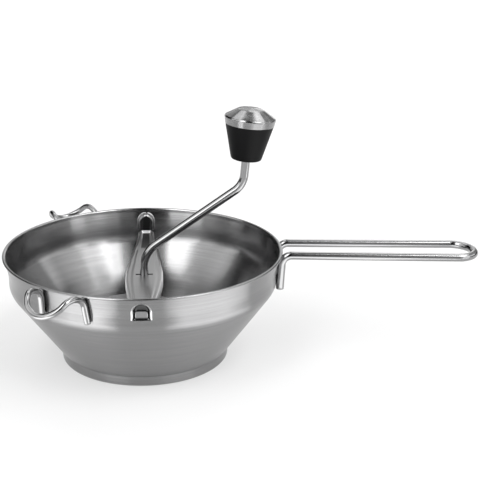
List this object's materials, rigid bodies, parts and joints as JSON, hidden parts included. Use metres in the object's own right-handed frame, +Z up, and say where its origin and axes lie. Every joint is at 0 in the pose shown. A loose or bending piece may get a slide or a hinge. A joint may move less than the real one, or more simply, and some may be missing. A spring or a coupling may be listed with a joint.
{
  "type": "rotary food mill",
  "caption": "Footed steel strainer bowl with a perforated disc in its foot, a sprung cross bar, a crank with a scraper blade and turning knob, a long wire handle and wire pot hooks.",
  "frame": {"origin": "on the bowl's axis, in the plane of the foot's lowest ring, which is the plane the mill stands on", "axes": "+Z up along the crank axis, +X towards the long wire handle, the cross bar along Y"},
  "size_m": [0.3268, 0.2075, 0.1731],
  "materials": {
    "sheet_steel": "satin brushed, brushing round the axis",
    "bright_steel": "fine satin",
    "wire_steel": "polished",
    "spring_steel": "drawn wire",
    "black_plastic": "fine matte"
  },
  "bodies": {
    "bowl": {"bowl": "sheet_steel", "handle_wire": "wire_steel", "pot_hook_front": "wire_steel", "pot_hook_back": "wire_steel", "sieve_disc": "sheet_steel", "disc_eyelet": "bright_steel", "cross_bar": "bright_steel", "spring_top_washer": "bright_steel", "crank_spring": "spring_steel"},
    "spring_seat": {"spring_seat_washer": "bright_steel"},
    "crank": {"crank_rod": "wire_steel", "blade_hub": "bright_steel", "blade_pin": "spring_steel", "scraper_blade": "sheet_steel", "knob_lower_washer": "bright_steel", "knob_top_washer": "bright_steel", "knob_push_nut": "spring_steel"},
    "knob": {"knob_grip": "black_plastic", "knob_cap": "bright_steel"}
  },
  "joints": [
    {"name": "crank_lift", "type": "slide", "parent": "bowl", "child": "spring_seat", "axis": [0, 0, 1], "range_m": [0, 0.004], "stiffness_N_per_m": 3000, "springref_m": -0.004, "deforming": ["crank_spring"]},
    {"name": "crank_spin", "type": "hinge", "parent": "spring_seat", "child": "crank", "pos_m": [0, 0, 0.0375], "axis": [0, 0, 1], "continuous": true},
    {"name": "knob_spin", "type": "hinge", "parent": "crank", "child": "knob", "pos_m": [0.0693, 0, 0.1382], "axis": [0.0906, 0, 0.9959], "continuous": true}
  ]
}
